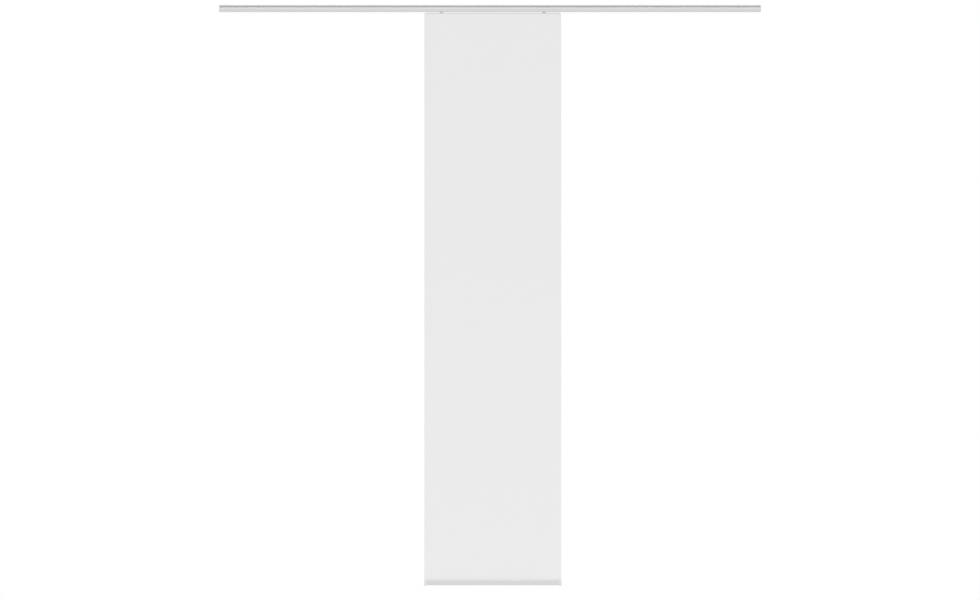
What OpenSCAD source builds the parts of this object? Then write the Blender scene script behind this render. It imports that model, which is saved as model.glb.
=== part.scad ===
// Panel curtain: a ceiling rail with two running channels, and one flat panel
// of fabric that hangs from two roller trucks in the rail's front channel.
// X runs along the rail, -Y faces the room and Z is up. The origin is the
// middle of the rail's top face, which lies against the ceiling.

/* [Rail] */
// Length of the rail over its end caps
rail_length = 2375; // [1600:5:3000]
// Clear width of one running channel
channel_w = 14.4; // [13:0.1:18]
// Clear height of a running channel
channel_h = 18; // [14.8:0.2:24]
// Thickness of the rail's walls, lips and web
rail_wall = 1.6; // [1.2:0.1:2.2]
// Thickness of the ledges that the wheels run on
ledge_t = 2; // [1.4:0.1:3]
// Height of the rail's head, from the top face down to the web
head_h = 9.4; // [8.6:0.2:16]
// Inside width of the clip slot in the head
clip_slot_w = 18; // [17:0.5:20]
// Overhang of each lip over the clip slot
clip_lip = 2.6; // [2.2:0.1:3]
// Height of the lip that hangs over each shadow groove
groove_lip = 4.8; // [2:0.2:6]
// Radius of the fillets at the back of each shadow groove
groove_r = 1.5; // [0.5:0.1:3]
// Radius of the shoulder below the shadow groove
shoulder_r = 6; // [3:0.5:7]
// Radius of the rail's lower edges
rail_edge_r = 1; // [0.4:0.2:1.2]
// Radius of the edges of the lips
lip_r = 0.5; // [0.2:0.1:0.55]

/* [Rail ends] */
// Thickness of an end cap's plate
end_cap_t = 2.5; // [1.5:0.5:4]
// Chamfer round the outer face of every end cap
cap_chamfer = 0.8; // [0.3:0.1:1.2]
// Length of the plugs that hold the end caps of the rail and the carrier
end_plug = 6; // [4:0.5:8]
// Length of an end stop along the rail
stop_length = 16; // [10:1:20]
// Height of an end stop above the ledges
stop_h = 11; // [8:0.5:13]
// Radius of an end stop's upright edges
stop_edge_r = 2; // [0.5:0.5:4]
// Diameter of the set screw that clamps an end stop
stop_screw_d = 4; // [3:0.5:5]

/* [Ceiling clips] */
// Distance from each end of the rail to the middle of the outer clip
clip_inset = 137.5; // [60:2.5:300]
// Length of a clip along the rail
clip_length = 24; // [16:1:40]
// Thickness of a clip's plate and legs
clip_t = 1.8; // [1.4:0.1:2.2]
// Length of a clip's legs below the lips
clip_leg = 5; // [3.5:0.5:6.5]
// Reach of a clip's barbs under the lips
clip_barb = 2.2; // [1.5:0.1:2.6]
// Thickness of a clip's barbs at their tips
clip_barb_t = 0.8; // [0.5:0.1:1.5]
// Diameter of the bore for a ceiling screw
clip_bore_d = 4.5; // [3.5:0.1:5]

/* [Roller trucks] */
// Diameter of a wheel
wheel_d = 13; // [10:0.5:14]
// Distance between a truck's two axles
wheelbase = 28; // [20:1:60]
// Thickness of a wheel's rim
rim_t = 1.4; // [1:0.1:2]
// Radius of the rim's edges
tread_r = 0.6; // [0.2:0.1:0.8]
// Thickness of a wheel's hub round its axle
hub_t = 1.2; // [0.8:0.1:2]
// Diameter of an axle
axle_d = 3; // [2:0.1:4]
// Wall of a truck above and below its axles
axle_wall = 3; // [2:0.2:3.6]
// Thickness of a truck's web, which hangs through the rail's slot
truck_web = 4; // [3:0.1:4.6]
// Thickness of the bumper at each end of a truck
bumper_t = 3.2; // [2:0.2:6]
// Distance from the panel's edge to the middle of a truck
truck_inset = 75; // [60:1:150]
// Length of a truck's neck along the rail
neck_length = 12; // [8:1:20]
// Radius of the fillets between a truck's neck and web
neck_r = 3; // [1:0.5:6]
// Length of a truck's foot along the rail
foot_length = 30; // [20:1:40]
// Height of a truck's foot
foot_h = 3.4; // [2.6:0.1:5]
// Step of the foot's shoulder at each side of the neck
foot_step = 1.4; // [0.8:0.1:2]
// Radius of the moulded edges of a truck
truck_edge_r = 1; // [0.4:0.1:1]
// Diameter of the set screw that clamps a truck in the carrier
truck_screw_d = 3; // [2:0.5:3]
// Length of that set screw
truck_screw_length = 4; // [3:0.5:6]

/* [Carrier] */
// Height of the carrier
carrier_h = 30; // [26:1:45]
// Thickness of the carrier's walls
carrier_wall = 1.6; // [1.2:0.1:2.4]
// Distance from the panel's edge to the end of the carrier
carrier_inset = 6; // [2:0.5:20]
// Thickness of a carrier end cap's plate
carrier_cap_t = 2; // [1:0.5:4]
// Height of the hook and loop tapes
tape_h = 20; // [15:1:24]
// Thickness of each tape
tape_t = 1; // [0.8:0.1:2]

/* [Fabric] */
// Width of the panel
panel_w = 600; // [450:10:800]
// Drop from the panel's top edge to the underside of the weight bar
panel_drop = 2509; // [1500:1:3000]
// Place of the panel's middle along the rail
panel_x = 12; // [-500:1:500]
// Gap between the rail and the top of the panel
hang_gap = 4; // [1.5:0.5:10]
// Thickness of the fabric
fabric_t = 0.6; // [0.4:0.1:1]
// Radius of the panel's top corners
corner_r = 9; // [2:1:20]

/* [Weight bar] */
// Height of the bar
bar_h = 23; // [20:0.5:40]
// Depth of the bar
bar_d = 10; // [9:0.5:16]
// Thickness of the bar's walls
bar_wall = 1.4; // [1:0.1:2]
// Radius of the bar's lower edges
bar_edge_r = 3; // [2.2:0.2:4]
// Radius of the bar's upper edges
bar_top_r = 1.5; // [0.5:0.1:1.8]
// Diameter of the spline that holds the hem in the bar
spline_d = 3.6; // [2.5:0.1:4]
// How far the capped bar stands past the fabric at each side
bar_overhang = 1; // [0:0.5:5]
// Thickness of a bar end cap's plate
bar_cap_t = 3; // [2:0.5:5]
// Length of the sleeve that an end cap puts round the bar
sleeve_length = 10; // [4:0.5:20]
// Thickness of that sleeve
sleeve_t = 1.2; // [0.8:0.1:2]
// Height of the foot under an end cap
bar_foot = 3; // [2:0.2:6]

/* [Clearances] */
// Gap between a truck's web and each side of a slot
slot_gap = 1; // [0.4:0.1:1.4]
// Gap between a wheel and the web beside it
wheel_gap = 0.25; // [0.15:0.05:0.5]
// Gap between a wheel and the channel's wall
side_gap = 1.5; // [1:0.1:2]
// Gap between a wheel and the ledge under it
ride_gap = 0.15; // [0.1:0.05:0.3]
// Radial play of an axle in its bore
axle_play = 0.04; // [0.02:0.01:0.08]
// Gap between a truck's bumper and the wheels or the channel's wall
bumper_gap = 0.8; // [0.4:0.1:1.2]
// Gap between a stopped truck and the end stop
stop_gap = 0.5; // [0.3:0.1:2]
// Gap round each plug, sleeve and stop, and beside a truck's foot
fit_gap = 0.1; // [0.05:0.05:0.2]
// Gap between a clip and the lips beside it
clip_gap = 0.3; // [0.1:0.1:0.6]
// Gap round the hem's loop, and from the hem to the end caps
hem_gap = 0.2; // [0.1:0.05:0.3]

/* [Hidden] */
$fn = 48;
// How far a cut runs past the face that it opens
over = 1;
SIDES = [["left", -1], ["right", 1]];

// Rail section, in Y and Z
rail_d = 2 * channel_w + 3 * rail_wall;
web_z = -head_h - rail_wall;
ledge_z = web_z - channel_h;
rail_z = ledge_z - ledge_t;
channel_y = -(channel_w + rail_wall) / 2;
slot_w = truck_web + 2 * slot_gap;
clip_mouth = clip_slot_w - 2 * clip_lip;
profile_length = rail_length - 2 * end_cap_t;

// Trucks: places along X are from the middle of the panel
wheel_w = channel_w / 2 - side_gap - truck_web / 2 - wheel_gap;
axle_proud = side_gap / 4;
axle_length = channel_w - 2 * side_gap + 2 * axle_proud;
axle_z = ledge_z + ride_gap + wheel_d / 2;
truck_length = wheelbase + wheel_d + 2 * bumper_gap + 2 * bumper_t;
truck_x = panel_w / 2 - truck_inset;
AXLE_X = [for (side = [-1, 1]) for (end = [-1, 1]) side * truck_x + end * wheelbase / 2];

// Carrier section
carrier_z = rail_z - hang_gap;
foot_w = truck_web + 2 * foot_step;
foot_slot_w = foot_w + 2 * fit_gap;
foot_slot_h = foot_h + fit_gap;
foot_z = carrier_z - carrier_wall;
carrier_d = foot_slot_w + 2 * carrier_wall;
carrier_box_h = foot_slot_h + 2 * carrier_wall;
carrier_front = channel_y - carrier_d / 2;
carrier_length = panel_w - 2 * carrier_inset - 2 * carrier_cap_t;
tape_z = carrier_z - (carrier_h - tape_h) / 2;

// Fabric, hem and weight bar
fabric_back = carrier_front - 2 * tape_t;
fabric_y = fabric_back - fabric_t / 2;
bar_z = carrier_z - panel_drop;
bar_top = bar_z + bar_h;
bar_length = panel_w + 2 * bar_overhang - 2 * bar_cap_t;
loop_r = spline_d / 2 + fabric_t;
pocket_r = loop_r + hem_gap;
pocket_z = bar_top - bar_wall - pocket_r;
hem_mouth = fabric_t + 4 * hem_gap;
hem_w = min(panel_w, bar_length) - 2 * hem_gap;
chamber_top = pocket_z - pocket_r - bar_wall;

// Nodes: four clips along the rail, four axles with a wheel at each end
CLIPS = [1 : 4];
PAIRS = [
    "rail_end_cap", "end_stop", "stop_screw", "carrier_end_cap", "truck", "truck_screw", "bar_end_cap"
];

// Extrudes a Y-Z outline along X
module along_x(from, length) {
    translate([from, 0, 0]) rotate([90, 0, 90]) linear_extrude(length) children();
}

// Extrudes an X-Z outline along Y, with its thickness centred on the given Y
module across_y(middle, thickness) {
    translate([0, middle + thickness / 2, 0]) rotate([90, 0, 0]) linear_extrude(thickness) children();
}

// Draws its children on the right-hand side, or mirrored on the left
module on_side(side) {
    mirror([side < 0 ? 1 : 0, 0, 0]) children();
}

// A rectangle of width w about the second axis, with its own radii below and above
module rounded_slab(w, low, high, r_low, r_high) {
    translate([-w / 2, low + r_low]) square([w, high - low - r_low - r_high]);
    for (end = [[low + r_low, r_low, low], [high - r_high, r_high, high - r_high]]) {
        translate([-w / 2 + end[1], end[2]]) square([w - 2 * end[1], end[1]]);
        for (side = [-1, 1]) translate([side * (w / 2 - end[1]), end[0]]) circle(end[1]);
    }
}

// A concave fillet in a corner at the origin, on the positive side of both axes
module fillet(r) {
    difference() {
        square(r);
        translate([r, r]) circle(r);
    }
}

// A round pin along Z from the origin, with both ends chamfered
module pin(d, length) {
    r = d / 2;
    chamfer = d / 10;
    rotate_extrude() polygon([
        [0, 0], [r - chamfer, 0], [r, chamfer], [r, length - chamfer], [r - chamfer, length], [0, length]
    ]);
}

// A set screw along Z with its tip at the origin and a hexagon socket at the far end
module set_screw(d, length) {
    socket = d / 2;
    difference() {
        pin(d, length);
        translate([0, 0, length - socket]) cylinder(d = socket * 2 / sqrt(3), h = socket + over, $fn = 6);
    }
}

// Cuts for the chamfer round an outer face at x, which spans +-half_y and low to high
module face_chamfer(x, half_y, low, high) {
    side = cap_chamfer * sqrt(2);
    for (z = [low, high]) translate([x, 0, z]) rotate([0, 45, 0])
        cube([side, 2 * half_y + over, side], center = true);
    for (y = [-half_y, half_y]) translate([x, y, (low + high) / 2]) rotate([0, 0, 45])
        cube([side, side, high - low + over], center = true);
}

// Draws its children at the front channel, and mirrored at the rear one
module at_channels() {
    for (rear = [0, 1]) mirror([rear, 0]) translate([channel_y, 0]) children();
}

// Inside of a channel less a gap, with the shoulder's wall carried round its upper outer corner
module channel_outline(gap) {
    half_w = channel_w / 2 - gap;
    low = ledge_z + gap;
    high = web_z - gap;
    r = max(shoulder_r - rail_wall - gap, fit_gap);
    translate([-half_w, low]) square([2 * half_w, high - low - r]);
    translate([-half_w + r, low]) square([2 * half_w - r, high - low]);
    translate([-half_w + r, high - r]) circle(r);
}

// Fillets at the back of the rear groove: one under the top plate, one tangent to the shoulder
module groove_fillets() {
    back_y = clip_slot_w / 2 + rail_wall;
    reach = shoulder_r + groove_r;
    off = max(back_y + groove_r - rail_d / 2 + shoulder_r, 0);
    middle_z = sqrt(reach * reach - off * off) - head_h - shoulder_r;
    translate([back_y, -rail_wall]) mirror([0, 1]) fillet(groove_r);
    difference() {
        translate([back_y, web_z]) square([groove_r * (1 - off / reach), middle_z - web_z]);
        translate([back_y + groove_r, middle_z]) circle(groove_r);
    }
}

module rail_section() {
    difference() {
        union() {
            rounded_slab(rail_d, rail_z, -head_h, rail_edge_r, shoulder_r);
            for (side = [-1, 1]) translate([side * (clip_slot_w + rail_wall) / 2 - rail_wall / 2, web_z])
                square([rail_wall, -web_z - rail_wall / 2]);
            rounded_slab(rail_d, -rail_wall, 0, lip_r, lip_r);
            for (front = [0, 1]) mirror([front, 0]) groove_fillets();
            for (side = [-1, 1]) translate([side * (rail_d - rail_wall) / 2, 0])
                rounded_slab(rail_wall, -groove_lip, 0, lip_r, lip_r);
        }
        translate([-clip_mouth / 2, -rail_wall - over]) square([clip_mouth, rail_wall + 2 * over]);
        at_channels() {
            channel_outline(0);
            translate([-slot_w / 2, rail_z - over]) square([slot_w, ledge_t + 2 * over]);
        }
    }
}

module rail_profile() {
    color("silver") along_x(-profile_length / 2, profile_length) rail_section();
}

module rail_end_cap(side) {
    color("lightgray") on_side(side) {
        difference() {
            along_x(profile_length / 2, end_cap_t) rounded_slab(rail_d, rail_z, 0, rail_edge_r, lip_r);
            face_chamfer(rail_length / 2, rail_d / 2, rail_z, 0);
        }
        along_x(profile_length / 2 - end_plug, end_plug + end_cap_t / 2) at_channels() difference() {
            channel_outline(fit_gap);
            channel_outline(fit_gap + rail_wall);
        }
    }
}

// One side of a clip's section: plate in the mouth, barb under the lip, and leg
clip_edge = clip_mouth / 2 - clip_gap;
clip_low = -rail_wall - clip_leg;
CLIP_SIDE = [
    [clip_edge, 0], [clip_edge, -rail_wall], [clip_edge + clip_barb, -rail_wall],
    [clip_edge + clip_barb, -rail_wall - clip_barb_t], [clip_edge, clip_low],
    [clip_edge - clip_t, clip_low], [clip_edge - clip_t, -clip_t]
];

module clip_outline() {
    last = len(CLIP_SIDE) - 1;
    polygon(concat(CLIP_SIDE, [for (k = [last : -1 : 0]) [-CLIP_SIDE[k][0], CLIP_SIDE[k][1]]]));
}

module ceiling_clip(i) {
    pitch = (rail_length - 2 * clip_inset) / 3;
    land = clip_t / 3;
    sink = clip_t - land;
    color("whitesmoke") translate([(i - 2.5) * pitch, 0, 0]) difference() {
        along_x(-clip_length / 2, clip_length) clip_outline();
        translate([0, 0, -clip_t - over]) cylinder(d = clip_bore_d, h = clip_t + 2 * over);
        translate([0, 0, -clip_t]) cylinder(d1 = clip_bore_d + 2 * sink, d2 = clip_bore_d, h = sink);
    }
}

// Draws its children where a truck stops with the panel's edge at the rail's end
module at_stop(side) {
    on_side(side) translate([rail_length / 2 - truck_inset + truck_length / 2 + stop_gap, channel_y, ledge_z])
        children();
}

module end_stop(side) {
    half_w = channel_w / 2 - fit_gap;
    color("lightgray") at_stop(side) difference() {
        translate([stop_length / 2, 0, 0]) linear_extrude(stop_h)
            rounded_slab(stop_length, -half_w, half_w, stop_edge_r, stop_edge_r);
        translate([stop_length / 2, 0, -over]) cylinder(d = stop_screw_d, h = stop_h + 2 * over);
    }
}

module stop_screw(side) {
    color("dimgray") at_stop(side) translate([stop_length / 2, 0, channel_h]) rotate([180, 0, 0])
        set_screw(stop_screw_d, channel_h - ledge_t / 2);
}

module foot_slot_outline(gap) {
    translate([-foot_slot_w / 2 + gap, foot_z - foot_slot_h + gap])
        square([foot_slot_w - 2 * gap, foot_slot_h - 2 * gap]);
}

module carrier_outline() {
    bead = carrier_wall;
    translate([-carrier_d / 2, carrier_z - carrier_box_h]) square([carrier_d, carrier_box_h]);
    translate([-carrier_d / 2, carrier_z - carrier_h]) square([carrier_wall, carrier_h]);
    translate([-carrier_d / 2, carrier_z - carrier_h]) square([carrier_wall + bead, bead]);
}

module carrier_profile() {
    mouth = truck_web + 2 * fit_gap;
    color("silver") translate([panel_x, channel_y, 0]) difference() {
        along_x(-carrier_length / 2, carrier_length) difference() {
            carrier_outline();
            foot_slot_outline(0);
            translate([-mouth / 2, foot_z - over / 2]) square([mouth, carrier_wall + over]);
        }
        for (side = [-1, 1]) truck_screw_place(side) cylinder(d = truck_screw_d, h = carrier_d);
    }
}

module carrier_end_cap(side) {
    color("lightgray") translate([panel_x, channel_y, 0]) on_side(side) {
        difference() {
            along_x(carrier_length / 2, carrier_cap_t) carrier_outline();
            face_chamfer(carrier_length / 2 + carrier_cap_t, carrier_d / 2, carrier_z - carrier_h, carrier_z);
        }
        along_x(carrier_length / 2 - end_plug, end_plug + carrier_cap_t / 2) foot_slot_outline(fit_gap);
    }
}

// Draws its children with Z pointing back out of the carrier, from the rear face of a truck's foot
module truck_screw_place(side) {
    translate([side * truck_x, foot_w / 2, foot_z - foot_h / 2]) rotate([-90, 0, 0]) children();
}

module truck_screw(side) {
    color("dimgray") translate([panel_x, channel_y, 0]) truck_screw_place(side)
        set_screw(truck_screw_d, truck_screw_length);
}

// Web with its neck, in X and Z
module truck_web_outline() {
    web = axle_d / 2 + axle_wall;
    translate([0, axle_z]) rounded_slab(truck_length - bumper_t, -web, web, truck_edge_r, truck_edge_r);
    translate([-neck_length / 2, foot_z - foot_h / 2]) square([neck_length, axle_z - foot_z + foot_h / 2]);
    for (side = [0, 1]) mirror([side, 0]) translate([neck_length / 2, axle_z - web]) mirror([0, 1])
        fillet(neck_r);
}

module truck(side) {
    web = axle_d / 2 + axle_wall;
    bumper_w = channel_w - 2 * bumper_gap;
    color("white") translate([panel_x + side * truck_x, channel_y, 0]) difference() {
        union() {
            across_y(0, truck_web) truck_web_outline();
            translate([-foot_length / 2, -foot_w / 2, foot_z - foot_h]) cube([foot_length, foot_w, foot_h]);
            for (end = [-1, 1]) translate([end * (truck_length - bumper_t) / 2, 0, axle_z - web])
                linear_extrude(2 * web)
                    rounded_slab(bumper_t, -bumper_w / 2, bumper_w / 2, truck_edge_r, truck_edge_r);
        }
        for (end = [-1, 1]) translate([end * wheelbase / 2, -truck_web, axle_z]) rotate([-90, 0, 0])
            cylinder(d = axle_d + 2 * axle_play, h = 2 * truck_web);
    }
}

// Draws its children at the middle of an axle
module at_axle(i) {
    translate([panel_x + AXLE_X[i - 1], channel_y, axle_z]) children();
}

module axle(i) {
    color("gray") at_axle(i) translate([0, -axle_length / 2, 0]) rotate([-90, 0, 0])
        pin(axle_d, axle_length);
}

// Half section of a wheel: hub, thin disc and rounded rim, with Z outward from the web
module wheel_section() {
    rim_r = wheel_d / 2;
    hub_r = axle_d / 2 + hub_t;
    difference() {
        union() {
            square([rim_r - tread_r, wheel_w]);
            translate([rim_r - 2 * tread_r, tread_r]) square([2 * tread_r, wheel_w - 2 * tread_r]);
            for (z = [tread_r, wheel_w - tread_r]) translate([rim_r - tread_r, z]) circle(tread_r);
        }
        translate([-over, -over]) square([over + axle_d / 2, wheel_w + 2 * over]);
        translate([hub_r, wheel_w / 2]) square([rim_r - rim_t - hub_r, wheel_w]);
    }
}

// Facing is -1 for the wheel on the room side and 1 for the one behind
module wheel(i, facing) {
    color("darkslategray") at_axle(i) translate([0, facing * (truck_web / 2 + wheel_gap), 0])
        rotate([-facing * 90, 0, 0]) rotate_extrude() wheel_section();
}

module hook_tape() {
    color("gainsboro") translate([panel_x - carrier_length / 2, carrier_front - tape_t, tape_z - tape_h])
        cube([carrier_length, tape_t, tape_h]);
}

module loop_tape() {
    color("white") translate([panel_x - carrier_length / 2, fabric_back, tape_z - tape_h])
        cube([carrier_length, tape_t, tape_h]);
}

// Panel with rounded top corners, narrowed at the foot to the hem that goes into the bar
module fabric_outline() {
    low = bar_top + hem_gap;
    hem_low = pocket_z + spline_d / 2;
    translate([-panel_w / 2, low]) square([panel_w, carrier_z - corner_r - low]);
    translate([-panel_w / 2 + corner_r, carrier_z - 2 * corner_r])
        square([panel_w - 2 * corner_r, 2 * corner_r]);
    for (side = [-1, 1]) translate([side * (panel_w / 2 - corner_r), carrier_z - corner_r]) circle(corner_r);
    translate([-hem_w / 2, hem_low]) square([hem_w, low + over - hem_low]);
}

module fabric_panel() {
    color("whitesmoke") translate([panel_x, fabric_y, 0]) difference() {
        union() {
            across_y(0, fabric_t) fabric_outline();
            along_x(-hem_w / 2, hem_w) translate([0, pocket_z]) circle(loop_r);
        }
        along_x(-hem_w / 2 - over, hem_w + 2 * over) translate([0, pocket_z]) circle(spline_d / 2);
    }
}

module hem_spline() {
    color("white") translate([panel_x - hem_w / 2, fabric_y, pocket_z]) rotate([0, 90, 0])
        cylinder(d = spline_d, h = hem_w);
}

module bar_outline(gap, top) {
    rounded_slab(bar_d + 2 * gap, bar_z - gap, top, bar_edge_r + gap, bar_top_r);
}

module chamber_outline(gap) {
    translate([-bar_d / 2 + bar_wall + gap, bar_z + bar_wall + gap])
        square([bar_d - 2 * bar_wall - 2 * gap, chamber_top - bar_z - bar_wall - 2 * gap]);
}

module weight_bar() {
    color("silver") translate([panel_x, fabric_y, 0]) along_x(-bar_length / 2, bar_length) difference() {
        bar_outline(0, bar_top);
        translate([0, pocket_z]) circle(pocket_r);
        translate([-hem_mouth / 2, pocket_z]) square([hem_mouth, bar_top - pocket_z + over]);
        chamber_outline(0);
    }
}

module bar_end_cap(side) {
    color("gainsboro") translate([panel_x, fabric_y, 0]) on_side(side) {
        difference() {
            along_x(bar_length / 2, bar_cap_t) {
                bar_outline(sleeve_t, bar_top);
                rounded_slab(bar_d - 2 * bar_wall, bar_z - bar_foot, bar_z, bar_top_r, sleeve_t / 2);
            }
            face_chamfer(bar_length / 2 + bar_cap_t, bar_d / 2 + sleeve_t, bar_z - bar_foot, bar_top);
        }
        along_x(bar_length / 2 - sleeve_length, sleeve_length + bar_cap_t / 2) difference() {
            bar_outline(sleeve_t, bar_top);
            bar_outline(fit_gap, bar_top + bar_top_r + over);
        }
        along_x(bar_length / 2 - sleeve_length, sleeve_length + bar_cap_t / 2) chamber_outline(fit_gap);
    }
}

rail_profile();
carrier_profile();
hook_tape();
loop_tape();
fabric_panel();
hem_spline();
weight_bar();
for (s = SIDES) {
    rail_end_cap(s[1]);
    end_stop(s[1]);
    stop_screw(s[1]);
    carrier_end_cap(s[1]);
    truck(s[1]);
    truck_screw(s[1]);
    bar_end_cap(s[1]);
}
for (i = CLIPS) {
    ceiling_clip(i);
}
for (i = [1 : len(AXLE_X)]) {
    axle(i);
    wheel(i, -1);
    wheel(i, 1);
}
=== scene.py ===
"""Finish of a panel curtain: ceiling rail, roller trucks, carrier, fabric panel and weight bar."""

import bmesh
import bpy
import numpy as np
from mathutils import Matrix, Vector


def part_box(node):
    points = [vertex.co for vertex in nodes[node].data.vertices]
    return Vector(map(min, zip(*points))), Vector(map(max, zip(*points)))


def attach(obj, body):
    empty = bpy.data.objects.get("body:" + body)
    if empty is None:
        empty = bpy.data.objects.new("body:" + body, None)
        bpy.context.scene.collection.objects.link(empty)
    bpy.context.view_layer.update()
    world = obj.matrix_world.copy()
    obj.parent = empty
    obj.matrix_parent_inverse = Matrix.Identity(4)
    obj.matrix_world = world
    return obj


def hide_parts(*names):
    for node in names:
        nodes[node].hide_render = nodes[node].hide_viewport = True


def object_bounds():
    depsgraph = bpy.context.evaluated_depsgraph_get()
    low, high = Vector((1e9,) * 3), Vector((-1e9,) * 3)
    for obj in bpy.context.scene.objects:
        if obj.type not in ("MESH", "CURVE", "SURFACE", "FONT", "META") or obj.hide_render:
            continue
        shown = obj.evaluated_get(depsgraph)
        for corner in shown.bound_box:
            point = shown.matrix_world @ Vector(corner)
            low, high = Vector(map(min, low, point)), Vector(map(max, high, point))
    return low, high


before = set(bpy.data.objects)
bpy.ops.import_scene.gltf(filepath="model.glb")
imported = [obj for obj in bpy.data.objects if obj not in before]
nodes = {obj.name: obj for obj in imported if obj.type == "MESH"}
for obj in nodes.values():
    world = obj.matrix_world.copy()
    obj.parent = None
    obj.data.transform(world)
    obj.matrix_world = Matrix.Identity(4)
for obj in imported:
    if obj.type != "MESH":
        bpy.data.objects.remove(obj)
cad_low, cad_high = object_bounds()


# Rail profile: one aluminium extrusion with a clip slot, shadow grooves and two running channels.
# It is pressed through a die, which leaves faint lines along its length, then etched and anodised
# to a satin silver. It hangs from clips on the ceiling.
silver = (0.712, 0.712, 0.714)
silver_shade = (0.634, 0.634, 0.636)
silver_roughness = (0.44, 0.54)
die_line_width = 0.0009
die_line_length = 0.6
die_line_depth = 0.000012
die_line_strength = 0.6


def add_node(tree, kind, settings, inputs):
    """Adds a shader node. An input takes a plain value, or a socket that is linked to it."""
    added = tree.nodes.new(kind)
    for name, value in settings.items():
        setattr(added, name, value)
    for name, value in inputs.items():
        if isinstance(value, bpy.types.NodeSocket):
            tree.links.new(value, added.inputs[name])
        else:
            added.inputs[name].default_value = value
    return added


def maths(tree, operation, *values):
    """Adds a Math node with its operands in order, and returns its output."""
    return add_node(tree, "ShaderNodeMath", {"operation": operation}, dict(enumerate(values))).outputs[0]


def new_group(name, inputs, outputs):
    """Makes a shader node group from (name, socket type) pairs, and returns its tree and two ends."""
    tree = bpy.data.node_groups.new(name, "ShaderNodeTree")
    for in_out, sockets in (("INPUT", inputs), ("OUTPUT", outputs)):
        for socket_name, socket_type in sockets:
            tree.interface.new_socket(socket_name, in_out=in_out, socket_type=socket_type)
    return tree, tree.nodes.new("NodeGroupInput").outputs, tree.nodes.new("NodeGroupOutput").inputs


def new_material(name):
    """Makes an empty node material, and returns it, its tree and its Object coordinates."""
    material = bpy.data.materials.new(name)
    material.use_nodes = True
    tree = material.node_tree
    tree.nodes.clear()
    place = tree.nodes.new("ShaderNodeTexCoord").outputs["Object"]
    return material, tree, place


def surface(tree, inputs):
    """Adds the Principled shader with these inputs and joins it to the material's output."""
    shader = add_node(tree, "ShaderNodeBsdfPrincipled", {}, inputs)
    output = tree.nodes.new("ShaderNodeOutputMaterial")
    tree.links.new(shader.outputs[0], output.inputs["Surface"])


def blend_colours(tree, factor, first, second):
    """Mixes two colours by a factor, and returns the colour."""
    mix = add_node(tree, "ShaderNodeMix", {"data_type": "RGBA"}, {"Factor": factor})
    colours = [socket for socket in mix.inputs if socket.type == "RGBA"]
    for socket, colour in zip(colours, (first, second)):
        if isinstance(colour, bpy.types.NodeSocket):
            tree.links.new(colour, socket)
        else:
            socket.default_value = (*colour, 1.0)
    return next(socket for socket in mix.outputs if socket.type == "RGBA")


def spread(tree, value, low, high):
    """Maps a value from 0..1 to low..high."""
    inputs = {"Value": value, "To Min": low, "To Max": high}
    return add_node(tree, "ShaderNodeMapRange", {}, inputs).outputs["Result"]


def relief(tree, height, strength, distance):
    """Turns a height from 0..1 into a bumped normal."""
    inputs = {"Height": height, "Strength": strength, "Distance": distance}
    return add_node(tree, "ShaderNodeBump", {}, inputs).outputs["Normal"]


def die_lines_group():
    """Streaks along X: noise whose X is squeezed, so each grain is a long line on the extrusion."""
    sockets = [("Place", "NodeSocketVector"), ("Width", "NodeSocketFloat"), ("Length", "NodeSocketFloat")]
    tree, given, made = new_group("die_lines", sockets, [("Streak", "NodeSocketFloat")])
    parts = add_node(tree, "ShaderNodeSeparateXYZ", {}, {"Vector": given["Place"]}).outputs
    scaled = [maths(tree, "DIVIDE", parts[0], given["Length"])]
    scaled += [maths(tree, "DIVIDE", parts[i], given["Width"]) for i in (1, 2)]
    stretched = add_node(tree, "ShaderNodeCombineXYZ", {}, dict(zip("XYZ", scaled))).outputs[0]
    inputs = {"Vector": stretched, "Scale": 1.0, "Detail": 3.0, "Roughness": 0.6}
    noise = add_node(tree, "ShaderNodeTexNoise", {}, inputs).outputs[0]
    tree.links.new(noise, made["Streak"])
    return tree


die_lines = die_lines_group()


def anodised_material():
    """Satin anodised aluminium: a rough metal with its tone and gloss streaked by the die lines."""
    material, tree, place = new_material("anodised_aluminium")
    inputs = {"Place": place, "Width": die_line_width, "Length": die_line_length}
    lines = add_node(tree, "ShaderNodeGroup", {"node_tree": die_lines}, inputs).outputs["Streak"]
    surface(
        tree,
        {
            "Base Color": blend_colours(tree, lines, silver_shade, silver),
            "Metallic": 1.0,
            "Roughness": spread(tree, lines, *silver_roughness),
            "Normal": relief(tree, lines, die_line_strength, die_line_depth),
        },
    )
    return material


anodised = anodised_material()


def dress(name, material):
    """Gives a CAD node this material on all its faces."""
    nodes[name].data.materials.clear()
    nodes[name].data.materials.append(material)


dress("rail_profile", anodised)


# Rail end caps and end stops: moulded in grey plastic with a fine spark-eroded grain. The caps plug
# into the channels, and the stops are clamped in the front channel to end the panel's travel.
cap_grey = (0.665, 0.665, 0.667)
grain_size = 0.00035
grain_depth = 0.00009
grain_gloss = (-0.06, 0.08)
grains_per_mottle = 40.0
mottle_shade = 0.93
plastic_shine = 0.45
mould_radius = 0.0002
rounding_steps = 2
merge_distance = 0.000001
flat_angle = 0.002
sharp_angle = 0.5
SIDES = ("left", "right")


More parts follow.
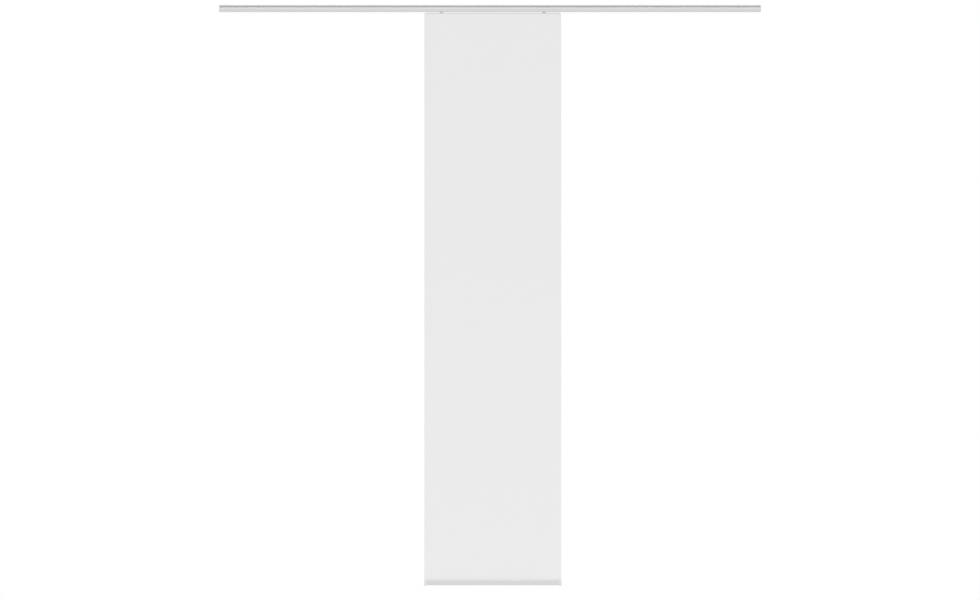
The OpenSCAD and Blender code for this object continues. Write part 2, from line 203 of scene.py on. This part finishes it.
def moulded_grain_group():
    """Fine grain from small noise, and a slow mottle of tone from noise of many grains' size."""
    sockets = [("Place", "NodeSocketVector"), ("Size", "NodeSocketFloat")]
    outputs = [("Height", "NodeSocketFloat"), ("Mottle", "NodeSocketFloat")]
    tree, given, made = new_group("moulded_grain", sockets, outputs)
    fine = maths(tree, "DIVIDE", 1.0, given["Size"])
    coarse = maths(tree, "DIVIDE", fine, grains_per_mottle)
    for scale, detail, output in ((fine, 2.0, "Height"), (coarse, 3.0, "Mottle")):
        inputs = {"Vector": given["Place"], "Scale": scale, "Detail": detail}
        noise = add_node(tree, "ShaderNodeTexNoise", {}, inputs).outputs[0]
        tree.links.new(noise, made[output])
    return tree


moulded_grain = moulded_grain_group()


def moulded_material(name, colour, roughness, grain):
    """Moulded plastic: one colour with a slight mottle, and gloss broken by the mould's grain."""
    material, tree, place = new_material(name)
    inputs = {"Place": place, "Size": grain_size}
    group = add_node(tree, "ShaderNodeGroup", {"node_tree": moulded_grain}, inputs).outputs
    darker = tuple(mottle_shade * part for part in colour)
    smoother, rougher = (roughness + change for change in grain_gloss)
    surface(
        tree,
        {
            "Base Color": blend_colours(tree, group["Mottle"], darker, colour),
            "Roughness": spread(tree, group["Height"], smoother, rougher),
            "Normal": relief(tree, group["Height"], grain, grain_depth),
            "Specular IOR Level": plastic_shine,
        },
    )
    return material


grey_plastic = moulded_material("grey_plastic", cap_grey, roughness=0.42, grain=0.5)


def new_object(name, mesh, material, body):
    """Makes a smooth object of one material at the origin from a mesh, and lets it ride on a body."""
    mesh.shade_smooth()
    mesh.materials.clear()
    mesh.materials.append(material)
    piece = bpy.data.objects.new(name, mesh)
    bpy.context.scene.collection.objects.link(piece)
    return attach(piece, body)


def moulding(name, material, body):
    """Stands for a CAD node with a copy whose flat triangles are joined and whose sharp edges are rounded."""
    shape = bmesh.new()
    shape.from_mesh(nodes[name].data)
    bmesh.ops.remove_doubles(shape, verts=shape.verts, dist=merge_distance)
    bmesh.ops.dissolve_limit(shape, angle_limit=flat_angle, verts=shape.verts, edges=shape.edges)
    mesh = bpy.data.meshes.new(name + "_moulding")
    shape.to_mesh(mesh)
    shape.free()
    piece = new_object(name + "_moulding", mesh, material, body)
    rounding = piece.modifiers.new("rounded_edges", "BEVEL")
    rounding.width = mould_radius
    rounding.segments = rounding_steps
    rounding.limit_method = "ANGLE"
    rounding.angle_limit = sharp_angle
    rounding.use_clamp_overlap = False
    rounding.loop_slide = False
    rounding.harden_normals = True
    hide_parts(name)


for side in SIDES:
    dress("rail_end_cap_" + side, grey_plastic)
    moulding("end_stop_" + side, grey_plastic, "rail")


# Ceiling clips: moulded in tough white plastic. Each snaps under the lips of the rail's slot by two
# barbs, and takes one countersunk ceiling screw.
clip_white = (0.82, 0.82, 0.815)
clip_count = 4
white_plastic = moulded_material("white_plastic", clip_white, roughness=0.36, grain=0.25)
for i in range(1, clip_count + 1):
    moulding(f"ceiling_clip_{i}", white_plastic, "rail")


# Set screws: thread-rolled steel with a hexagon socket, zinc plated. One clamps each end stop between
# the ledge and the web, and one clamps each truck in the carrier's slot.
steel_tone = (0.56, 0.555, 0.55)
steel_shade = (0.44, 0.435, 0.43)
steel_roughness = (0.22, 0.42)
plating_scale = 900.0
plating_depth = 0.00001
plating_strength = 0.2
turns_per_diameter = 6.0
thread_depth = 0.06
taper_share = 0.1
socket_share = 0.5
thread_edge = 0.6
screw_columns = 60
rows_per_turn = 6
ALONG_Y = [1, 2, 0]
ALONG_Z = [0, 1, 2]


def steel_material():
    """Plated steel: a metal whose gloss and tone are clouded by noise."""
    material, tree, place = new_material("plated_steel")
    inputs = {"Vector": place, "Scale": plating_scale, "Detail": 4.0}
    cloud = add_node(tree, "ShaderNodeTexNoise", {}, inputs).outputs[0]
    surface(
        tree,
        {
            "Base Color": blend_colours(tree, cloud, steel_shade, steel_tone),
            "Metallic": 1.0,
            "Roughness": spread(tree, cloud, *steel_roughness),
            "Normal": relief(tree, cloud, plating_strength, plating_depth),
        },
    )
    return material


steel = steel_material()


def new_piece(name, points, faces, material, body):
    """Makes a smooth object at the origin from points and faces, and lets it ride on a body."""
    mesh = bpy.data.meshes.new(name)
    mesh.from_pydata(np.reshape(points, (-1, 3)).tolist(), [], faces)
    return new_object(name, mesh, material, body)


def ring_faces(rows, columns):
    """Quads of a tube of rows by columns points, closed round each row."""
    start = np.arange(rows - 1)[:, None] * columns
    here = np.arange(columns)[None, :]
    after = (here + 1) % columns
    quads = np.stack([start + here, start + after, start + columns + after, start + columns + here], axis=-1)
    return quads.reshape(-1, 4).tolist()


def screw_points(diameter, length):
    """Rows of rings from the tip to the socket's floor, along Z from 0 to length.

    The flank's radius is the nominal one less a triangle wave of (turns along Z - angle), which winds
    into a thread. Both ends taper over a share of the diameter. The socket's rings have the polar
    radius of a hexagon: its flat distance over the cosine of the angle from the nearest flat.
    """
    radius = diameter / 2
    taper = taper_share * diameter
    turns = turns_per_diameter * length / diameter
    flank = np.linspace(taper, length - taper, int(turns * rows_per_turn))
    angle = np.linspace(0, 2 * np.pi, screw_columns, endpoint=False)
    phase = flank[:, None] * turns_per_diameter / diameter - angle[None, :] / (2 * np.pi)
    groove = 2 * np.abs(phase % 1 - 0.5)
    thread = radius - thread_depth * diameter * groove
    flat = socket_share * diameter / 2
    hexagon = flat / np.cos((angle + np.pi / 6) % (np.pi / 3) - np.pi / 6)
    rim = np.full(screw_columns, radius - taper)
    radii = np.concatenate([[rim], thread, [rim], [hexagon], [hexagon]])
    depth = socket_share * diameter
    heights = np.concatenate([[0], flank, [length, length, length - depth]])[:, None]
    flat_x, flat_y = radii * np.cos(angle), radii * np.sin(angle)
    return np.stack([flat_x, flat_y, np.broadcast_to(heights, radii.shape)], axis=-1)


def threaded_screw(name, tip, axis_order, direction, diameter, length, body):
    """Puts a set screw with its tip at a point. Direction, 1 or -1, is the way it runs along its axis."""
    points = screw_points(diameter, length)
    rows = len(points)
    faces = ring_faces(rows, screw_columns)
    faces += [list(range(screw_columns))[::-1], list(range((rows - 1) * screw_columns, rows * screw_columns))]
    turned = (points * np.array([1, direction, direction]))[..., axis_order] + np.array(tip)
    screw = new_piece(name + "_thread", turned, faces, steel, body)
    screw.data.set_sharp_from_angle(angle=thread_edge)
    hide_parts(name)


for side in SIDES:
    low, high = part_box("stop_screw_" + side)
    middle = (low + high) / 2
    screw_tip = (middle.x, middle.y, high.z)
    threaded_screw("stop_screw_" + side, screw_tip, ALONG_Z, -1, high.x - low.x, high.z - low.z, "rail")
    low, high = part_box("truck_screw_" + side)
    middle = (low + high) / 2
    screw_tip = (middle.x, low.y, middle.z)
    threaded_screw("truck_screw_" + side, screw_tip, ALONG_Y, 1, high.x - low.x, high.y - low.y, "panel")


# Roller trucks, wheels and axles: the trucks are moulded in white plastic and hang through the rail's
# slot into the carrier. The wheels are moulded in dark nylon and pressed on steel axles.
nylon_dark = (0.055, 0.056, 0.058)
wheelset_count = 4
dark_nylon = moulded_material("dark_nylon", nylon_dark, roughness=0.40, grain=0.3)
for side in SIDES:
    moulding("truck_" + side, white_plastic, "panel")
for i in range(1, wheelset_count + 1):
    dress(f"axle_{i}", steel)
    for row in ("front", "back"):
        moulding(f"wheel_{i}_{row}", dark_nylon, f"wheelset_{i}")


# Carrier and its end caps: a light aluminium extrusion with a slot for the trucks' feet above a flat
# plate for the tape, closed at each end by a moulded cap.
cap_light = (0.745, 0.745, 0.745)
light_plastic = moulded_material("light_plastic", cap_light, roughness=0.42, grain=0.5)
dress("carrier_profile", anodised)
for side in SIDES:
    moulding("carrier_end_cap_" + side, light_plastic, "panel")


# Hook and loop tapes: woven nylon bands. The hook tape is glued on the carrier's plate, and the loop
# tape is sewn on the fabric's back, so the panel can be pulled off and pressed on again.
selvedge = 0.0012
selvedge_share = 0.45
ground_share = 0.45
hook_share = 0.1
hook_pitch = 0.0024
steps_per_hook = 4
pile_scale = 2600.0
pile_shade = 0.82
pile_roughness = (0.7, 0.95)
pile_sheen = 0.25
pile_depth = 0.0002
pile_strength = 0.8
tape_colours = {"hook_tape": (0.70, 0.70, 0.69), "loop_tape": (0.78, 0.78, 0.77)}


def shell_faces(rows, columns):
    """Quads of a closed shell: a front grid, a back grid turned over, and the rim that joins them."""
    count = rows * columns
    grid = np.arange(count).reshape(rows, columns)
    front = np.stack([grid[:-1, :-1], grid[1:, :-1], grid[1:, 1:], grid[:-1, 1:]], axis=-1).reshape(-1, 4)
    back = front[:, ::-1] + count
    edge = np.concatenate([grid[0, :-1], grid[:-1, -1], grid[-1, :0:-1], grid[:0:-1, 0]])
    after = np.roll(edge, -1)
    rim = np.stack([edge, after, after + count, edge + count], axis=-1)
    return np.concatenate([front, back, rim]).tolist()


def tape_points(low, high, pile):
    """Front and back grids of a band in the X-Z plane, from its box.

    The band is thin at its two woven edges and full between them. The pile side adds the product of
    two sine waves in X and Z, which stand as rows of hooks or loops. Pile is -1 for the room side.
    """
    step = hook_pitch / steps_per_hook
    x = np.linspace(low.x, high.x, round((high.x - low.x) / step))[None, :]
    z = np.linspace(high.z, low.z, round((high.z - low.z) / step))[:, None]
    depth = high.y - low.y
    from_edge = np.minimum(high.z - z, z - low.z)
    fullness = np.clip(from_edge / selvedge, 0, 1)
    rows = np.sin(2 * np.pi * x / hook_pitch) * np.sin(2 * np.pi * z / hook_pitch)
    raised = depth * (selvedge_share + fullness * (ground_share + hook_share * rows))
    flat = np.broadcast_to(low.y if pile > 0 else high.y, raised.shape)
    piled = flat + pile * raised
    grid_x, grid_z = np.broadcast_to(x, raised.shape), np.broadcast_to(z, raised.shape)
    front, back = (flat, piled) if pile > 0 else (piled, flat)
    return np.stack([np.stack([grid_x, y, grid_z], axis=-1) for y in (front, back)])


def tape_material(name, colour):
    """Napped nylon: fine noise for the pile's tone, gloss and height, with a soft sheen."""
    material, tree, place = new_material(name)
    inputs = {"Vector": place, "Scale": pile_scale, "Detail": 4.0}
    pile = add_node(tree, "ShaderNodeTexNoise", {}, inputs).outputs[0]
    darker = tuple(pile_shade * part for part in colour)
    surface(
        tree,
        {
            "Base Color": blend_colours(tree, pile, darker, colour),
            "Roughness": spread(tree, pile, *pile_roughness),
            "Sheen Weight": pile_sheen,
            "Normal": relief(tree, pile, pile_strength, pile_depth),
        },
    )
    return material


for tape, pile_side in (("hook_tape", -1), ("loop_tape", 1)):
    points = tape_points(*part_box(tape), pile_side)
    faces = shell_faces(*points.shape[1:3])
    band = new_piece(tape + "_pile", points, faces, tape_material(tape, tape_colours[tape]), "panel")
    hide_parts(tape)


# Fabric panel: one flat length of opaque white polyester in plain weave, cut hot so its edges are
# fused. It hangs straight from the loop tape, and its hem is a loop round a plastic spline that
# slides into the weight bar, which keeps it taut.
fabric_low, fabric_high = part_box("fabric_panel")
spline_low, spline_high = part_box("hem_spline")
bar_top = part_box("weight_bar")[1].z
carrier_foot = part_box("carrier_profile")[0].z
fabric_white = (0.84, 0.84, 0.84)
fabric_shade = (0.785, 0.785, 0.785)
# The band along the top edge is painted this grey: painted shade under the rail.
top_shade_grey = (0.60, 0.60, 0.605)
fabric_roughness = 0.85
fused_roughness = 0.6
fabric_sheen = 0.08
fabric_shine = 0.3
yarn_pitch = 0.00045
weave_depth = 0.00012
weave_strength = 0.35
slub_scale = 0.8
slub_stretch = 0.06
slub_share = 0.5
corner_radius = 0.009
fused_band = 0.0036
fused_core = 0.8
fused_closing = 0.8
fused_relief = 0.25
pressed_share = 0.2
cut_share = 0.45
cut_rise = 0.5
bead_width = 0.0006
bead_place = 0.6
bead_sharpness = 4
bead_share = 0.3
hem_clear = 0.0002
fold_power = 4
wave_height = 0.0007
wave_fade = 0.5
wave_across = 9.7
wave_start = 0.4
sway_reach = 0.9
sway_down = 1.7
# Each lesser wave has its share of the height, its radians a metre across and down, and its start.
LESSER_WAVES = ((0.5, 19.3, 1.3, 2.1), (0.3, 5.3, 4.1, 0.0))
EDGE_STEPS = np.array([0, 0.00012, 0.0003, 0.0006, 0.0015, 0.004])
corner_rows = 12
drop_rows = 230
fold_rows = 10
loop_rows = 26
inner_columns = 64
fabric_middle = (fabric_low + fabric_high) / 2
half_width = (fabric_high.x - fabric_low.x) / 2
hem_half_width = (spline_high.x - spline_low.x) / 2
spline_radius = (spline_high.y - spline_low.y) / 2
fabric_thickness = (fabric_high.y - fabric_low.y) / 2 - spline_radius
spline_z = (spline_low.z + spline_high.z) / 2


def fabric_path():
    """Depth, height and half width of each row of the fabric, from its top edge to the end of the hem.

    The rounded corner takes rows at equal angles, where the half width is the straight part plus the
    radius times the sine of the angle. In the bar the path leaves the middle by a power of the way
    down, and follows a circle round the spline, from one sixth of a turn to eleven twelfths.
    """
    angle = np.linspace(0, np.pi / 2, corner_rows)
    corner_z = fabric_high.z - corner_radius * (1 - np.cos(angle))
    corner_half = half_width - corner_radius * (1 - np.sin(angle))
    notch_z = bar_top + hem_clear
    drop_z = np.linspace(corner_z[-1], notch_z, drop_rows + 1)[1:]
    radius = spline_radius + fabric_thickness / 2
    turn = np.linspace(np.pi / 3, 2 * np.pi * 11 / 12, loop_rows)
    loop_y, loop_z = -radius * np.sin(turn), spline_z + radius * np.cos(turn)
    part = np.linspace(0, 1, fold_rows + 1)[:-1]
    fold_z = bar_top + (loop_z[0] - bar_top) * part
    fold_y = loop_y[0] * part**fold_power
    straight = np.zeros(corner_rows + drop_rows)
    y = fabric_middle.y + np.concatenate([straight, fold_y, loop_y])
    z = np.concatenate([corner_z, drop_z, fold_z, loop_z])
    half = np.concatenate([corner_half, np.full(drop_rows, half_width)])
    return y, z, np.concatenate([half, np.full(fold_rows + loop_rows, hem_half_width)])


def fabric_waves(x, z):
    """The slight unevenness of hung cloth: three long sine waves, fading out at the tape and the bar.

    The first wave runs across and sways from side to side down the panel.
    """
    fade = np.clip((carrier_foot - z) / wave_fade, 0, 1) * np.clip((z - bar_top) / wave_fade, 0, 1)
    ease = fade * fade * (3 - 2 * fade)
    wave = np.sin(wave_across * x + sway_reach * np.sin(sway_down * z) + wave_start)
    for share, across, down, start in LESSER_WAVES:
        wave = wave + share * np.sin(across * x + down * z + start)
    return wave_height * ease * wave


def fabric_points():
    """Front and back grids of the fabric, its flat coordinates and its length along the path.

    Columns near the sides keep fixed distances to the edge, and the rest share the width between them.
    The two faces lie half a thickness off the path, along its normal. The thickness swells into a
    bead at the fused edges and thins in the pressed band along the top.
    """
    y, z, half = fabric_path()
    inner = np.linspace(-1, 1, inner_columns + 2)[1:-1]
    reach = np.concatenate([-np.ones(len(EDGE_STEPS)), inner, np.ones(len(EDGE_STEPS))])
    inset = np.concatenate([EDGE_STEPS, -inner * EDGE_STEPS[-1], -EDGE_STEPS[::-1]])
    x = half[:, None] * reach + inset
    side_gap = half[:, None] - np.abs(x)
    drop = np.broadcast_to((fabric_high.z - z)[:, None], x.shape)
    past = np.abs(x) - (half_width - corner_radius)
    in_corner = (past > 0) & (drop < corner_radius)
    round_gap = corner_radius - np.hypot(past, corner_radius - drop)
    gap = np.minimum(side_gap, np.where(in_corner, round_gap, drop))
    bead = np.exp(-bead_sharpness * (gap / bead_width - bead_place) ** 2)
    edge = np.clip(cut_share + cut_rise * gap / EDGE_STEPS[1], 0, 1)
    pressed = pressed_share * (drop < fused_band)
    thickness = fabric_thickness * (edge + bead_share * bead - pressed)
    step_y, step_z = np.gradient(y), np.gradient(z)
    length = np.hypot(step_y, step_z)
    normal_y, normal_z = (step_z / length)[:, None], (-step_y / length)[:, None]
    middle_y = y[:, None] + fabric_waves(x, z[:, None])
    middle_z = np.broadcast_to(z[:, None], x.shape)
    offset_y, offset_z = normal_y * thickness / 2, normal_z * thickness / 2
    faces = [
        np.stack([fabric_middle.x + x, middle_y + side * offset_y, middle_z + side * offset_z], axis=-1)
        for side in (1, -1)
    ]
    walked = np.concatenate([[0], np.cumsum(np.hypot(np.diff(y), np.diff(z)))])
    flat = np.stack([x + half_width, np.broadcast_to(walked[:, None], x.shape)], axis=-1)
    return np.stack(faces), np.stack([flat, flat]), walked[-1]


def plain_weave_group():
    """Plain weave on flat coordinates in metres: warp and weft yarns as half sine ridges.

    Each yarn's height along itself is a raised cosine that turns over at every crossing and starts
    one crossing later on the next yarn. The higher of warp and weft shows. Slub is the mean of two slow
    noises, one drawn out along the warp and one along the weft.
    """
    sockets = [("Flat", "NodeSocketVector"), ("Pitch", "NodeSocketFloat")]
    outputs = [("Height", "NodeSocketFloat"), ("Slub", "NodeSocketFloat")]
    tree, given, made = new_group("plain_weave", sockets, outputs)
    parts = add_node(tree, "ShaderNodeSeparateXYZ", {}, {"Vector": given["Flat"]}).outputs
    across, along = (maths(tree, "DIVIDE", part, given["Pitch"]) for part in parts[:2])
    ridges = []
    for start, run, other in ((0.0, across, along), (1.0, along, across)):
        ridge = maths(tree, "ABSOLUTE", maths(tree, "SINE", maths(tree, "MULTIPLY", run, np.pi)))
        crossing = maths(tree, "ADD", other, maths(tree, "ADD", maths(tree, "FLOOR", run), start))
        over = maths(tree, "COSINE", maths(tree, "MULTIPLY", crossing, np.pi))
        ridges.append(maths(tree, "MULTIPLY", ridge, maths(tree, "MULTIPLY_ADD", over, 0.5, 0.5)))
    tree.links.new(maths(tree, "MAXIMUM", *ridges), made["Height"])
    drawn = []
    for stretch in ((slub_stretch, 1.0), (1.0, slub_stretch)):
        scaled = [maths(tree, "MULTIPLY", part, s) for part, s in zip((across, along), stretch)]
        vector = add_node(tree, "ShaderNodeCombineXYZ", {}, dict(zip("XY", scaled))).outputs[0]
        inputs = {"Vector": vector, "Scale": slub_scale, "Detail": 2.0}
        drawn.append(add_node(tree, "ShaderNodeTexNoise", {}, inputs).outputs[0])
    tree.links.new(maths(tree, "MULTIPLY", maths(tree, "ADD", *drawn), 0.5), made["Slub"])
    return tree


plain_weave = plain_weave_group()


def pressed_shade_mask(tree, flat):
    """1 in the pressed band along the top edge, where painted shade under the rail lies, from flat
    coordinates in metres.

    The distance to the cut edge is the corner's radius less the length of what lies past the corner's
    middle, sideways and upwards. Further down a corner the distance is raised, so the band closes.
    """
    across, down = add_node(tree, "ShaderNodeSeparateXYZ", {}, {"Vector": flat}).outputs[:2]
    from_middle = maths(tree, "ABSOLUTE", maths(tree, "SUBTRACT", across, half_width))
    past_side = maths(tree, "MAXIMUM", maths(tree, "SUBTRACT", from_middle, half_width - corner_radius), 0.0)
    past_top = maths(tree, "MAXIMUM", maths(tree, "SUBTRACT", corner_radius, down), 0.0)
    squares = [maths(tree, "POWER", past, 2.0) for past in (past_side, past_top)]
    gap = maths(tree, "SUBTRACT", corner_radius, maths(tree, "SQRT", maths(tree, "ADD", *squares)))
    below = maths(tree, "MAXIMUM", maths(tree, "SUBTRACT", down, fused_band), 0.0)
    inputs = {
        "Value": maths(tree, "MULTIPLY_ADD", below, fused_closing, gap),
        "From Min": fused_core * fused_band,
        "From Max": fused_band,
        "To Min": 1.0,
        "To Max": 0.0,
    }
    mask = add_node(tree, "ShaderNodeMapRange", {"interpolation_type": "SMOOTHSTEP"}, inputs)
    return mask.outputs["Result"]


def fabric_material():
    """White woven polyester: yarns toned by slub, with painted shade in the hollows between yarns, and
    pressed flat with painted shade along the top.
    """
    material, tree, _ = new_material("panel_fabric")
    flat = add_node(tree, "ShaderNodeUVMap", {"uv_map": "flat"}, {}).outputs[0]
    inputs = {"Flat": flat, "Pitch": yarn_pitch}
    weave = add_node(tree, "ShaderNodeGroup", {"node_tree": plain_weave}, inputs).outputs
    fused = pressed_shade_mask(tree, flat)
    # The weave's height mixes into the colour: painted shade in the hollows between yarns, while the slub is
    # the yarns' own uneven tone.
    raised = maths(tree, "MULTIPLY", weave["Height"], 1 - slub_share)
    tone = maths(tree, "MULTIPLY_ADD", weave["Slub"], slub_share, raised)
    cloth = blend_colours(tree, tone, fabric_shade, fabric_white)
    woven = maths(tree, "MULTIPLY", weave["Height"], spread(tree, fused, 1.0, fused_relief))
    surface(
        tree,
        {
            # The top band is painted grey: painted shade under the rail.
            "Base Color": blend_colours(tree, fused, cloth, top_shade_grey),
            "Roughness": spread(tree, fused, fabric_roughness, fused_roughness),
            "Sheen Weight": fabric_sheen,
            "Specular IOR Level": fabric_shine,
            "Normal": relief(tree, woven, weave_strength, weave_depth),
        },
    )
    return material


def add_flat_coordinates(piece, flat):
    """Gives each corner of the mesh the flat coordinates of its point, in metres."""
    mesh = piece.data
    corner_point = np.empty(len(mesh.loops), dtype=np.int32)
    mesh.loops.foreach_get("vertex_index", corner_point)
    layer = mesh.uv_layers.new(name="flat")
    layer.data.foreach_set("uv", flat.reshape(-1, 2)[corner_point].ravel())


points, flat, fabric_length = fabric_points()
panel = new_piece("fabric_sheet", points, shell_faces(*points.shape[1:3]), fabric_material(), "panel")
add_flat_coordinates(panel, flat)
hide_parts("fabric_panel")


# Tape stitching: two rows of lockstitch in white polyester thread, sewn through the fabric and the
# loop tape near the tape's edges.
stitch_pitch = 0.0036
stitch_length = 0.0031
thread_radius = 0.00017
stitch_margin = 0.0025
stitch_taper = 0.45
stitch_arch = 1.2
stitch_proud = 0.5
stitch_rings = 7
stitch_sides = 6
thread_white = (0.78, 0.78, 0.78)


def stitch_points(starts):
    """One short arched thread for each start point, as tubes on the fabric's front.

    Along a stitch its height is a parabola, proud in the middle and under the fabric at both ends,
    and its radius shrinks towards the ends.
    """
    along = np.linspace(-1, 1, stitch_rings)[:, None]
    angle = np.linspace(0, 2 * np.pi, stitch_sides, endpoint=False)[None, :]
    radius = thread_radius * (1 - stitch_taper * along**4)
    x = np.broadcast_to(along * stitch_length / 2, (stitch_rings, stitch_sides))
    y = thread_radius * (stitch_arch * along**2 - stitch_proud) + radius * np.cos(angle)
    z = radius * np.sin(angle)
    return starts[:, None, None, :] + np.stack([x, y, z], axis=-1)


tape_low, tape_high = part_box("loop_tape")
stitch_x = np.arange(tape_low.x + stitch_margin, tape_high.x - stitch_margin, stitch_pitch)
stitch_z = np.array([tape_high.z - stitch_margin, tape_low.z + stitch_margin])
grid_x, grid_z = np.meshgrid(stitch_x + stitch_length / 2, stitch_z)
front_y = np.full(grid_x.size, fabric_middle.y - fabric_thickness / 2)
points = stitch_points(np.stack([grid_x.ravel(), front_y, grid_z.ravel()], axis=-1))
first_faces = np.array(ring_faces(stitch_rings, stitch_sides))
offsets = np.arange(len(points))[:, None, None] * stitch_rings * stitch_sides
faces = (first_faces + offsets).reshape(-1, 4).tolist()
ends = np.array([np.arange(stitch_sides)[::-1], np.arange(stitch_sides) + (stitch_rings - 1) * stitch_sides])
faces += (ends + offsets).reshape(-1, stitch_sides).tolist()
thread_material = moulded_material("stitch_thread", thread_white, roughness=0.6, grain=0.3)
stitching = new_piece("tape_stitching", points, faces, thread_material, "panel")


# Weight bar, its end caps and the hem spline: an aluminium extrusion with a round pocket for the hem,
# closed by moulded caps with sleeves and feet. The spline is a white plastic rod.
dress("weight_bar", anodised)
dress("hem_spline", white_plastic)
for side in SIDES:
    dress("bar_end_cap_" + side, light_plastic)


# Studio: a pale floor just under the panel, even light from all round with a wide soft lamp high in
# front, and a camera square to the panel.
floor_gap = 0.012
floor_radius = 9.0
floor_points = 96
floor_colour = (0.92, 0.92, 0.92)
floor_white = 0.9
floor_fade = (1.0, 4.0)
sky_light = 0.805
lamp_from = (-0.1, -1.0, 1.75)
lamp_spread = 1.0
lamp_light = 0.9
# The picture is photo_width metres wide at the panel, and its middle lies at camera_height.
photo_width = 4.296
camera_distance = 60.0
camera_height = -1.2937
camera_reach = 200.0
sensor_width = 36.0


def seen_rays(tree):
    """1 for rays from the camera, and from mirrors and glass, and 0 for the light that falls on things."""
    rays = tree.nodes.new("ShaderNodeLightPath").outputs
    shown = maths(tree, "MAXIMUM", rays["Is Camera Ray"], rays["Is Glossy Ray"])
    return maths(tree, "MAXIMUM", shown, rays["Is Transmission Ray"])


def floor_material():
    """A pale matt floor with a trace of shadow, which fades to white outwards and is clear from below."""
    material, tree, place = new_material("studio_floor")
    matt = add_node(tree, "ShaderNodeBsdfDiffuse", {}, {"Color": (*floor_colour, 1.0)}).outputs[0]
    white = add_node(tree, "ShaderNodeEmission", {}, {"Strength": 1.0}).outputs[0]
    out = add_node(tree, "ShaderNodeVectorMath", {"operation": "LENGTH"}, {0: place}).outputs["Value"]
    fade = {"Value": out, "From Min": floor_fade[0], "From Max": floor_fade[1], "To Min": floor_white}
    whiteness = add_node(tree, "ShaderNodeMapRange", {"interpolation_type": "SMOOTHSTEP"}, fade)
    share = maths(tree, "MULTIPLY", seen_rays(tree), whiteness.outputs["Result"])
    shown = add_node(tree, "ShaderNodeMixShader", {}, {0: share, 1: matt, 2: white}).outputs[0]
    clear = tree.nodes.new("ShaderNodeBsdfTransparent").outputs[0]
    below = tree.nodes.new("ShaderNodeNewGeometry").outputs["Backfacing"]
    mixed = add_node(tree, "ShaderNodeMixShader", {}, {0: below, 1: shown, 2: clear}).outputs[0]
    tree.links.new(mixed, tree.nodes.new("ShaderNodeOutputMaterial").inputs["Surface"])
    return material


angle = np.linspace(0, 2 * np.pi, floor_points, endpoint=False)
floor_z = np.full(floor_points, cad_low.z - floor_gap)
rim = np.stack([floor_radius * np.cos(angle), floor_radius * np.sin(angle), floor_z], axis=-1)
floor_mesh = bpy.data.meshes.new("studio_floor")
floor_mesh.from_pydata(rim.tolist(), [], [list(range(floor_points))])
floor_mesh.materials.append(floor_material())
floor = bpy.data.objects.new("studio_floor", floor_mesh)
bpy.context.scene.collection.objects.link(floor)

world = bpy.data.worlds.new("studio_light")
bpy.context.scene.world = world
world.use_nodes = True
sky = world.node_tree
sky.nodes.clear()
even = add_node(sky, "ShaderNodeBackground", {}, {"Strength": sky_light}).outputs[0]
white = add_node(sky, "ShaderNodeBackground", {}, {"Strength": 1.0}).outputs[0]
for background in (even, white):
    background.node.inputs["Color"].default_value = (1.0, 1.0, 1.0, 1.0)
mixed = add_node(sky, "ShaderNodeMixShader", {}, {0: seen_rays(sky), 1: even, 2: white}).outputs[0]
sky.links.new(mixed, sky.nodes.new("ShaderNodeOutputWorld").inputs["Surface"])

lamp_data = bpy.data.lights.new("soft_lamp", "SUN")
lamp_data.angle = lamp_spread
lamp_data.energy = lamp_light
lamp = bpy.data.objects.new("soft_lamp", lamp_data)
lamp.rotation_euler = Vector(lamp_from).to_track_quat("Z", "Y").to_euler()
bpy.context.scene.collection.objects.link(lamp)

camera_data = bpy.data.cameras.new("camera")
camera_data.sensor_width = sensor_width
camera_data.lens = sensor_width * camera_distance / photo_width
camera_data.clip_end = camera_reach
camera = bpy.data.objects.new("camera", camera_data)
camera.location = (0.0, fabric_middle.y - camera_distance, camera_height)
camera.rotation_euler = (np.pi / 2, 0.0, 0.0)
bpy.context.scene.collection.objects.link(camera)
bpy.context.scene.camera = camera
bpy.context.scene.view_settings.view_transform = "Standard"
